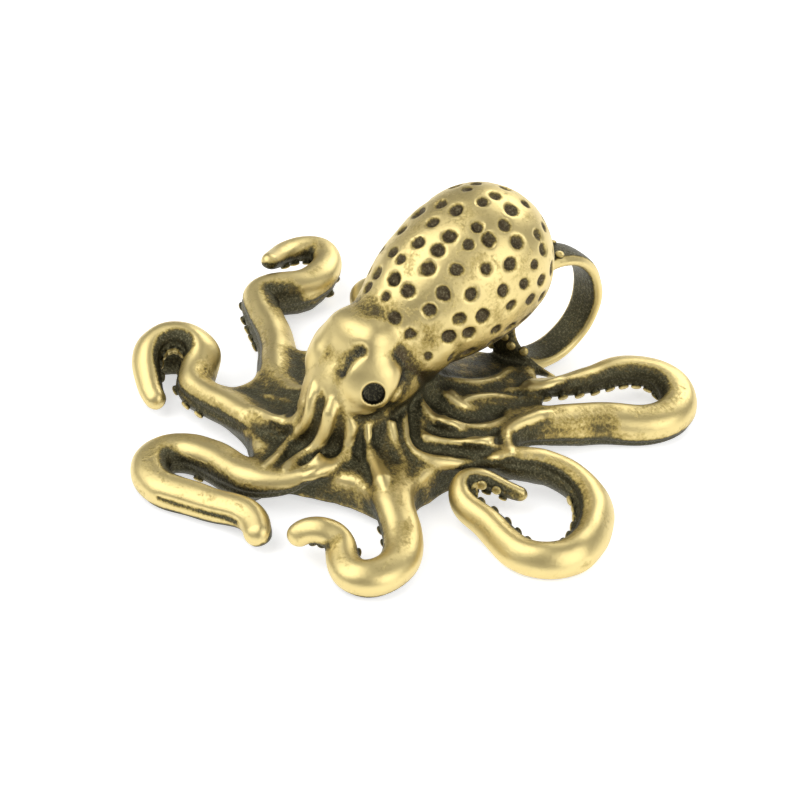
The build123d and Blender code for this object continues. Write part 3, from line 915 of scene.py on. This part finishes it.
metal = np.clip(0.5 - block / voxel, 0, 1)
even = counts // 2 * 2
halves = metal[:even[0], :even[1], :even[2]]
halves = halves.reshape(even[0] // 2, 2, even[1] // 2, 2, even[2] // 2, 2).mean((1, 3, 5))
fineMetal = spread(metal, max(1, round(patinaAndShade["fine"] / voxel)))
middleMetal = spread(halves, max(1, round(patinaAndShade["middle"] / voxel / 2)))
wideMetal = spread(halves, max(1, round(patinaAndShade["wide"] / voxel / 2)))
halfCorner, halfStep = first / 2 + 0.25, voxel * 2
fine = lookUp(fineMetal, first, voxel, points) - 0.5
middle = lookUp(middleMetal, halfCorner, halfStep, points) - 0.5
# How much metal stands out over each point: patina where the wheel can't reach, and painted shade under
# overhangs
shelter = lookUp(wideMetal, halfCorner, halfStep, points + normals * patinaAndShade["wide"])
del fineMetal, middleMetal, wideMetal, metal, halves

# Which mould each point came from
mouldNames = list(moulds)
nearest = np.full(len(points), 2 * far)
owner = np.zeros(len(points), int)
for number, mouldName in enumerate(mouldNames):
    cells, corner = moulds[mouldName]
    index = np.rint(points / voxel - first - corner).astype(int)
    known = np.all((index >= 0) & (index < cells.shape), axis=1)
    depth = np.full(len(points), 2 * far)
    depth[known] = cells[tuple(index[known].T)]
    closer = depth < nearest
    nearest[closer], owner[closer] = depth[closer], number


def inBore(side):
    seat, look, _, _ = eyeFrame(side)
    offset = points - seat
    deep = offset @ look
    away = np.linalg.norm(offset - deep[:, None] * look, axis=1)
    beside = away < eye["bore"] / 2 + boreReach["slack"]
    return beside & (deep < eye["rise"] + boreReach["over"]) & (deep > -boreReach["under"]), deep


for eyeName, side in eyeSides.items():
    owner[inBore(side)[0]] = mouldNames.index(eyeName)


# Whether each point's mould has a name that starts like this
def ownedBy(start):
    numbers = [number for number, mouldName in enumerate(mouldNames) if mouldName.startswith(start)]
    return np.isin(owner, numbers)


def darken(mine, gain, value, limits):
    dark[mine] += patinaAndShade[gain] * ease(value, *patinaAndShade[limits])


dark = patinaAndShade["base"] + patinaAndShade["fineGain"] * fine + patinaAndShade["middleGain"] * middle
# Painted shade and patina in sheltered places
dark = dark + patinaAndShade["shelterGain"] * shelter
for start in ("web", "head", "mantle", "eye", "arm"):
    dark[ownedBy(start)] += patinaAndShade[start]
onWeb, offArms = ownedBy("web"), ~ownedBy("arm")
dark[onWeb] += patinaAndShade["rimGain"] * (1 - ease(points[onWeb, 2], *patinaAndShade["rimHeights"]))
# Painted shade on faces off the arms that look down
darken(offArms, "underGain", -normals[offArms, 2], "downShares")
for name in armRoutes:
    mine = ownedBy("arm_" + name)
    along = np.linspace(0, 1, patinaAndShade["armSamples"])
    place, run, side, crown = armFrames(name, along)
    which = np.argmin(((points[mine][:, None] - place[None]) ** 2).sum(-1), axis=1)
    lift = (normals[mine] * crown[which]).sum(-1)
    # Painted shade on the arm's sides, where they lean away from its crown
    darken(mine, "flankGain", -lift, "flankShares")
    if name in flanks:
        # Painted shade on the flanks inside the curls, below the arm's middle line
        darken(mine, "underGain", place[which][:, 2] - points[mine][:, 2], "belowLine")
    if name == loop["arm"]:
        # Painted shade on the ring's inner and outer rims, and on the tip past the ring
        edge = 1 - ease(np.abs((normals[mine] * side[which]).sum(-1)), *patinaAndShade["ringEdgeShares"])
        onRing = ease(along[which], loopFrom * patinaAndShade["ringStartShare"], loopFrom)
        past = ease(along[which], loopTo * patinaAndShade["ringEndShare"], loopTo)
        dark[mine] += patinaAndShade["underGain"] * (edge * onRing + past)
    else:
        # Painted shade on the arm's underside
        darken(mine, "underGain", -lift, "soleShares")
# Painted shade inside the curls, on faces that look in towards the curl's middle
for name, (start, end) in flanks.items():
    mine = ownedBy("arm_" + name)
    line, _ = armCurves[name][0](np.linspace(start, end, patinaAndShade["curlSamples"]))
    heart = line[:, :2].mean(0)
    away = heart - points[mine, :2]
    radius = np.linalg.norm(line[:, :2] - heart, axis=1).max()
    near = ease(-np.linalg.norm(away, axis=1), *(radius * share for share in patinaAndShade["curlOutShares"]))
    darken(mine, "curlGain", (unit(away) * normals[mine, :2]).sum(1) * near, "curlInShares")


# Points in a box round a line, and how far they are from it
def closeTo(line, slack):
    box = (points > line.min(0) - slack) & (points < line.max(0) + slack)
    close = np.nonzero(box.all(1))[0]
    return close, np.sqrt(((points[close][:, None] - line[None]) ** 2).sum(-1)).min(1)


# From 1 down to 0 with the distance
def faded(away, width, limits):
    return 1 - ease(away, *(width * share for share in patinaAndShade[limits]))


# Averages between neighbours, so that no edge shows where one mould meets the next
def evened(values, rounds):
    starts, ends = quads.ravel(), np.roll(quads, -1, axis=1).ravel()
    number = np.bincount(starts, minlength=len(values))
    for _ in range(rounds):
        values = (values + np.bincount(starts, values[ends], len(values)) / number) / 2
    return values


dark = evened(np.clip(dark, patinaAndShade["least"], patinaAndShade["most"]), patinaAndShade["rounds"])
for place, width in pits:
    close, away = closeTo(place[None], width)
    dark[close] = np.maximum(dark[close], patinaAndShade["pit"] * faded(away, width, "pitShares"))

# Marks along pixels of the photograph, darker where the strength is above zero and lighter where it is
# below zero.
# Each has its width and its strength.
darkAndLightMarks = {
    # Painted shade in the brow groove, at the upper left of the eye
    "brow": (2.2, 0.30, [(366, 346), (355, 351), (347, 361), (341, 376)]),
    "browTop": (3.6, -0.25, [(372, 336), (358, 336), (346, 342), (334, 330)]),
    "browBar": (2.4, -0.22, [(334, 322), (324, 334), (316, 350), (313, 366), (318, 384)]),
    "rightCrease": (0.5, 0.6, furrows["rightCrease"][-1]),
    "neck": (3.4, -0.20, [(380, 334), (394, 337), (406, 342), (418, 350)]),
    # Painted shade on the cheek and the throat, right of the eye
    "cheek": (2.2, 0.30, [(398, 352), (408, 366), (404, 384), (392, 402)]),
    "throat": (2.6, 0.25, [(436, 372), (420, 384), (404, 398)]),
    "face": (4.2, -0.2, [(334, 404), (328, 424), (318, 444)]),
    "outerBend": (1.8, -1.0, [(188, 446), (197, 449), (206, 453)]),
    "leftStrand": (1.9, 0.42, [(528, 431), (548, 427), (570, 425), (592, 423), (614, 422)]),
    # Painted highlight on the eye's dome
    "ball": (3.6, -0.15, [(368, 372), (380, 368), (390, 374)]),
}
for width, strength, pixels in darkAndLightMarks.values():
    line = smoothLine(placesUnder(pixels, waxUnderPixel), patinaAndShade["markSamples"])
    close, away = closeTo(line, width)
    dark[close] += strength * faded(away, width, "markShares")
for side in eyeSides.values():
    inside, deep = inBore(side)
    dark[inside & (deep < eye["rise"] - boreReach["darkDepth"])] = 1.0
dark = np.clip(dark, 0, 1)
print("patina laid", dark.mean().round(3))

# Materials
finish = {
    "polished": (0.76, 0.62, 0.28), "worn": (0.47, 0.36, 0.12), "tarnished": (0.17, 0.135, 0.055),
    # Light specks in the patina, in part painted glints off its rough face
    "speckAndGlint": (0.36, 0.33, 0.19),
    "polishedRoughness": 0.40, "patinaRoughness": 0.44,
    "clouds": (480, 6), "grain": (3300, 5), "dustAndGlints": (5200, 4),   # scale and detail of its noises
    "noiseRoughness": 0.6,
    # The level of patina and painted shade: the share and offset of each noise, and of the depth that
    # scales them
    "cloudShare": 1.25, "noiseOffset": -1.15, "grainShare": 1.05, "depthShare": 0.8, "depthOffset": 0.48,
    "colourStops": (0.08, 0.36, 0.56, 0.80), "roughnessStops": (0.1, 0.7),
    "speckAndGlintStops": (0.50, 0.64), "speckAndGlintDepthStops": (0.45, 0.75), "speckAndGlintShare": 0.34,
    "bumpStops": (0.15, 0.7), "bumpShares": (0.20, 1.0), "dustShare": 0.5,
    "bumpStrength": 0.8, "bumpDepth": 0.15,   # millimetres, before the slot's own grain
}
slots = {
    "head_brass": {"grain": 1.1, "shift": 0.03, "patinaAndShade": (0.075, 0.066, 0.034)},
    "mantle_brass": {"grain": 1.0, "shift": 0.0, "patinaAndShade": (0.092, 0.070, 0.040)},
    "web_brass": {"grain": 1.3, "shift": 0.02, "patinaAndShade": (0.072, 0.068, 0.038)},
    "eye_brass": {"grain": 0.7, "shift": -0.02, "patinaAndShade": (0.045, 0.042, 0.030)},
    "arm_brass": {"grain": 0.9, "shift": 0.02, "patinaAndShade": (0.072, 0.066, 0.037)},
    "sucker_brass": {"grain": 0.8, "shift": 0.0, "patinaAndShade": (0.062, 0.058, 0.034)},
}


def emptyTree(owner):
    owner.use_nodes = True
    owner.node_tree.nodes.clear()
    return owner.node_tree


# Node whose inputs are set to values, or linked to the outputs that are given in their place
def addNode(tree, kind, inputs=(), **settings):
    made = tree.nodes.new(kind)
    for key, value in settings.items():
        setattr(made, key, value)
    for key, value in dict(inputs).items():
        if isinstance(value, bpy.types.NodeSocket):
            tree.links.new(value, made.inputs[key])
        else:
            made.inputs[key].default_value = value
    return made


def brass(slotName, look):
    material = bpy.data.materials.new(slotName)
    tree = emptyTree(material)

    def noise(scale, detail):
        inputs = {
            "Vector": where.outputs["Object"], "Scale": scale, "Detail": detail,
            "Roughness": finish["noiseRoughness"],
        }
        return addNode(tree, "ShaderNodeTexNoise", inputs).outputs["Fac"]

    # One value times a factor, plus another
    def scaled(source, factor, offset):
        inputs = {0: source, 1: factor, 2: offset}
        return addNode(tree, "ShaderNodeMath", inputs, operation="MULTIPLY_ADD").outputs[0]

    def ramp(source, places, colours):
        made = addNode(tree, "ShaderNodeValToRGB", {0: source})
        elements = made.color_ramp.elements
        while len(elements) < len(places):
            elements.new(places[len(elements)])
        for element, place, colour in zip(elements, places, colours):
            element.position = place
            element.color = (*colour, 1) if isinstance(colour, tuple) else (colour, colour, colour, 1)
        return made.outputs["Color"]

    where = addNode(tree, "ShaderNodeTexCoord")
    # Patina and painted shade of each point
    depth = addNode(tree, "ShaderNodeAttribute", attribute_name="patinaAndShade").outputs["Fac"]
    clouds, grain, dustAndGlints = (noise(*finish[name]) for name in ("clouds", "grain", "dustAndGlints"))
    mottle = scaled(clouds, finish["cloudShare"], finish["noiseOffset"])
    mottle = scaled(grain, finish["grainShare"], mottle)
    amount = scaled(depth, finish["depthShare"], finish["depthOffset"])
    level = scaled(mottle, amount, scaled(depth, 1.0, look["shift"]))
    shades = [finish["polished"], finish["worn"], finish["tarnished"], look["patinaAndShade"]]
    colour = ramp(level, finish["colourStops"], shades)
    # Light specks in the dark patina, in part painted glints
    specksAndGlints = ramp(dustAndGlints, finish["speckAndGlintStops"], (0.0, 1.0))
    inDark = ramp(level, finish["speckAndGlintDepthStops"], (0.0, finish["speckAndGlintShare"]))
    mixed = addNode(tree, "ShaderNodeMix", {
        0: scaled(specksAndGlints, inDark, 0.0), 6: colour, 7: (*finish["speckAndGlint"], 1),
    }, data_type="RGBA")
    roughness = finish["polishedRoughness"], finish["patinaRoughness"]
    height = scaled(dustAndGlints, finish["dustShare"], grain)
    weight = ramp(level, finish["bumpStops"], finish["bumpShares"])
    bump = addNode(tree, "ShaderNodeBump", {
        "Strength": finish["bumpStrength"], "Distance": finish["bumpDepth"] * mm * look["grain"],
        "Height": scaled(height, weight, 0.0),
    })
    shader = addNode(tree, "ShaderNodeBsdfPrincipled", {
        "Base Color": mixed.outputs[2], "Metallic": 1.0, "Normal": bump.outputs[0],
        "Roughness": ramp(level, finish["roughnessStops"], roughness),
    })
    addNode(tree, "ShaderNodeOutputMaterial", {0: shader.outputs[0]})
    return material


materials = {slotName: brass(slotName, look) for slotName, look in slots.items()}


# Piece from points, faces, normals and its patina with painted shade, in the place of a node
def makePiece(name, places, faces, ways, shades, slotName, node):
    mesh = bpy.data.meshes.new(name)
    mesh.vertices.add(len(places))
    mesh.vertices.foreach_set("co", (places * mm).astype(np.float32).ravel())
    sizes = np.concatenate([np.full(len(group), group.shape[1]) for group in faces])
    mesh.loops.add(int(sizes.sum()))
    corners = np.concatenate([group.ravel() for group in faces])
    mesh.loops.foreach_set("vertex_index", corners.astype(np.int32))
    mesh.polygons.add(len(sizes))
    mesh.polygons.foreach_set("loop_start", (np.cumsum(sizes) - sizes).astype(np.int32))
    mesh.polygons.foreach_set("use_smooth", np.ones(len(sizes), bool))
    mesh.update(calc_edges=True)
    mesh.validate()
    # Patina and painted shade of each point, which the material reads
    layer = mesh.attributes.new("patinaAndShade", "FLOAT", "POINT")
    layer.data.foreach_set("value", shades.astype(np.float32))
    mesh.normals_split_custom_set_from_vertices(ways.tolist())
    mesh.materials.append(materials[slotName])
    piece = bpy.data.objects.new(name, mesh)
    bpy.context.scene.collection.objects.link(piece)
    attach(piece, "root")
    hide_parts(node)
    return piece


# One mould's share of the skin, closed by a lip that turns in and a cap behind it
lipDepth, capDepth = 0.5, 2.2


def cutPiece(node, slotName, number):
    mine = quads[quadOwner == number]
    used, flat = np.unique(mine, return_inverse=True)
    faces = flat.reshape(-1, 4)
    places, ways, shades = points[used], normals[used], dark[used]
    starts, ends = faces.ravel(), np.roll(faces, -1, axis=1).ravel()
    there = set(zip(starts.tolist(), ends.tolist()))
    rim = np.array([(a, b) for a, b in there if (b, a) not in there], int).reshape(-1, 2)
    if not len(rim):
        return makePiece(node + "_cast", places, [faces], ways, shades, slotName, node)
    rim = rim[np.lexsort((rim[:, 1], rim[:, 0]))]
    lip, rimEnds = np.unique(rim, return_inverse=True)
    rimEnds = rimEnds.reshape(-1, 2)
    where = rimEnds + len(places)
    inner = places[lip] - ways[lip] * lipDepth
    # Each loop of the rim gets one number, the lowest that is handed on round it
    group = np.arange(len(lip))
    for _ in range(len(lip)):
        before = group.copy()
        lowest = group[rimEnds].min(1)
        np.minimum.at(group, rimEnds[:, 0], lowest)
        np.minimum.at(group, rimEnds[:, 1], lowest)
        if (before == group).all():
            break
    keys, member = np.unique(group, return_inverse=True)
    caps = np.array([(inner - ways[lip] * capDepth)[member == key].mean(0) for key in range(len(keys))])
    hub = len(places) + len(lip) + member[rimEnds[:, 0]]
    lipFaces = np.stack([rim[:, 1], rim[:, 0], where[:, 0], where[:, 1]], -1)
    capFaces = np.stack([where[:, 1], where[:, 0], hub], -1)
    places = np.concatenate([places, inner, caps])
    ways = np.concatenate([ways, ways[lip], np.tile([[0.0, 0.0, 1.0]], (len(caps), 1))])
    shades = np.concatenate([shades, shades[lip], np.ones(len(caps))])
    return makePiece(node + "_cast", places, [faces, lipFaces, capFaces], ways, shades, slotName, node)


votes = np.sort(owner[quads], axis=1)
quadOwner = np.where(votes[:, 0] == votes[:, 1], votes[:, 0], votes[:, 2])
for number, mouldName in enumerate(mouldNames):
    piece = cutPiece(mouldName, mouldName.split("_")[0] + "_brass", number)
    print(piece.name, len(piece.data.polygons), "faces")

# Suckers
sucker = {
    "width": 1.0, "rise": 0.4, "pitch": 1.6, "spread": 36.0, "start": 0.34, "around": 20,
    # How a seat is moved to the skin: steps, the longest step and way, and how close it must come
    "steps": 4, "step": 0.3, "slide": 0.8, "gap": 0.1,
    "stagger": 0.25, "skew": (0.3, 0.5, 0.8),   # skew is any direction that is never along a seat's own
    "nearShare": 0.75, "nearPoints": 6,   # how much of the construction's sucker has to be there
    "ringShare": 0.9, "ringBare": 0.62,   # on the ring: their size, and the part of it that has none
    # Share of the run where they stop, and on which arms it is another
    "tipBareShare": 0.97, "tipBare": {"right_1": 0.86, "right_2": 0.93, "right_3": 0.95, "left_4": 0.92},
    "tipShade": 0.8,   # patina at the top
    # Radius as a share of the width, height above the arm and patina
    "profile": [
        (0.47, -0.45, 1.0), (0.47, -0.05, 1.0), (0.48, 0.05, 0.9), (0.50, 0.12, 0.7), (0.49, 0.19, 0.45),
        (0.44, 0.26, 0.25), (0.35, 0.31, 0.15), (0.24, 0.33, 0.15), (0.12, 0.33, 0.3), (0.04, 0.325, 0.35),
    ],
}


def suckerSeats(name):
    start = loopFrom if name == loop["arm"] else sucker["start"]
    number = int(armCurves[name][1][-1] * (1 - start) / sucker["pitch"])
    for step in range(number):
        for row in (-1, 1):
            along = np.array([start + (step + 0.5 + sucker["stagger"] * row) / number * (1 - start)])
            if name == loop["arm"] and along[0] < loopFrom + (loopTo - loopFrom) * sucker["ringBare"]:
                continue
            if along[0] > sucker["tipBare"].get(name, sucker["tipBareShare"]):
                continue
            halfWidth, _, sole = armSizes(name, along)
            place, _, side, crown = armFrames(name, along)
            angle = math.radians(-90 + row * sucker["spread"])
            across, down = side[0] * math.cos(angle), crown[0] * math.sin(angle)
            began = seat = place[0] + across * halfWidth[0] + down * sole[0]
            out = unit(across / halfWidth[0] + down / sole[0])
            for _ in range(sucker["steps"]):
                away = lookUp(block, first, voxel, seat[None])[0]
                seat = seat - out * np.clip(away, -sucker["step"], sucker["step"])
            if abs(away) > sucker["gap"] or np.linalg.norm(seat - began) > sucker["slide"]:
                continue
            width = sucker["width"] * (sucker["ringShare"] if name == loop["arm"] else 1)
            yield seat, out, min(width, halfWidth[0])


def makeSuckers(name):
    node = "suckers_" + name
    solid = np.array([vertex.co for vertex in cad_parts[node].data.vertices]) / mm
    turn = np.linspace(0, 2 * np.pi, sucker["around"], endpoint=False)
    profile = np.array(sucker["profile"])
    sides, ends = ringFaces(len(profile), len(turn))
    # Turned over, because these rings run the other way round
    sides, ends = np.roll(sides[:, ::-1], 1, axis=1), np.roll(ends[:, ::-1], -1, axis=1)
    allPlaces, allFaces, allEnds, allWays, allShades = [], [], [], [], []
    total = 0
    for seat, out, width in suckerSeats(name):
        away = np.linalg.norm(solid - (seat + out * sucker["rise"]), axis=1)
        if (away < width * sucker["nearShare"]).sum() < sucker["nearPoints"]:
            continue
        across = unit(np.cross(out, sucker["skew"]))
        spokes = np.cos(turn)[:, None] * across + np.sin(turn)[:, None] * np.cross(out, across)
        rings = seat + profile[:, 1, None, None] * out
        rings = rings + (profile[:, 0] * width)[:, None, None] * spokes[None]
        tangents = np.gradient(profile[:, :2] * (width, 1), axis=0)
        ways = tangents[:, 1, None, None] * spokes[None] - tangents[:, 0, None, None] * out
        allPlaces += [rings.reshape(-1, 3), rings[:1].mean(1), rings[-1:].mean(1)]
        allWays += [unit(ways).reshape(-1, 3), -out[None], out[None]]
        allShades += [np.repeat(profile[:, 2], len(turn)), [1.0], [sucker["tipShade"]]]
        allFaces.append(sides + total)
        allEnds.append(ends + total)
        total += rings.size // 3 + 2
    places = np.concatenate(allPlaces)
    places[:, 2] = np.maximum(places[:, 2], cadLow[2] + wax["inset"])
    faces = [np.concatenate(allFaces), np.concatenate(allEnds)]
    ways, shades = np.concatenate(allWays), np.concatenate(allShades)
    makePiece(node + "_cast", places, faces, ways, shades, "sucker_brass", node)
    return len(allFaces)


for name in armRoutes:
    print("suckers on", name, makeSuckers(name))

# Floor, light and world
studio = {
    "floorWidth": 3.0, "floorColour": 0.82, "floorLift": 0.6, "worldLevel": 0.36,
    "lamps": {
        "key": {"place": (-0.35, -0.45, 0.75), "size": 1.15, "power": 6.2},
        "side": {"place": (0.75, 0.15, 0.45), "size": 0.9, "power": 3.6},
        "back": {"place": (-0.25, 0.75, 0.50), "size": 0.7, "power": 3.0},
    },
}


def makeFloor():
    half = studio["floorWidth"] / 2
    corners = [(-half, -half, 0), (half, -half, 0), (half, half, 0), (-half, half, 0)]
    mesh = bpy.data.meshes.new("floor")
    mesh.from_pydata(corners, [], [(0, 1, 2, 3)])
    material = bpy.data.materials.new("floor_paper")
    tree = emptyTree(material)
    paper = addNode(tree, "ShaderNodeBsdfDiffuse", {"Color": (studio["floorColour"],) * 3 + (1,)})
    path = addNode(tree, "ShaderNodeLightPath")
    rays = {0: path.outputs["Is Camera Ray"], 1: path.outputs["Is Glossy Ray"]}
    seen = addNode(tree, "ShaderNodeMath", rays, operation="MAXIMUM")
    lift = {0: seen.outputs[0], 1: studio["floorLift"]}
    amount = addNode(tree, "ShaderNodeMath", lift, operation="MULTIPLY")
    glow = addNode(tree, "ShaderNodeEmission", {"Strength": amount.outputs[0]})
    both = addNode(tree, "ShaderNodeAddShader", {0: paper.outputs[0], 1: glow.outputs[0]})
    addNode(tree, "ShaderNodeOutputMaterial", {0: both.outputs[0]})
    mesh.materials.append(material)
    floor = bpy.data.objects.new("floor", mesh)
    bpy.context.scene.collection.objects.link(floor)


def makeLamps():
    for lampName, lamp in studio["lamps"].items():
        data = bpy.data.lights.new(lampName, "AREA")
        data.shape = "DISK"
        data.size = lamp["size"]
        data.energy = lamp["power"]
        holder = bpy.data.objects.new(lampName, data)
        holder.location = lamp["place"]
        holder.rotation_euler = (-Vector(lamp["place"])).to_track_quat("-Z", "Y").to_euler()
        bpy.context.scene.collection.objects.link(holder)


def makeWorld():
    world = bpy.data.worlds.new("studio")
    tree = emptyTree(world)
    path = addNode(tree, "ShaderNodeLightPath")
    level = addNode(tree, "ShaderNodeMapRange", {
        "Value": path.outputs["Is Camera Ray"], "To Min": studio["worldLevel"], "To Max": 1.0,
    })
    background = addNode(tree, "ShaderNodeBackground", {"Strength": level.outputs["Result"]})
    addNode(tree, "ShaderNodeOutputWorld", {0: background.outputs[0]})
    bpy.context.scene.world = world


makeFloor()
makeLamps()
makeWorld()
bpy.context.scene.view_settings.view_transform = "Standard"
print("studio lit")
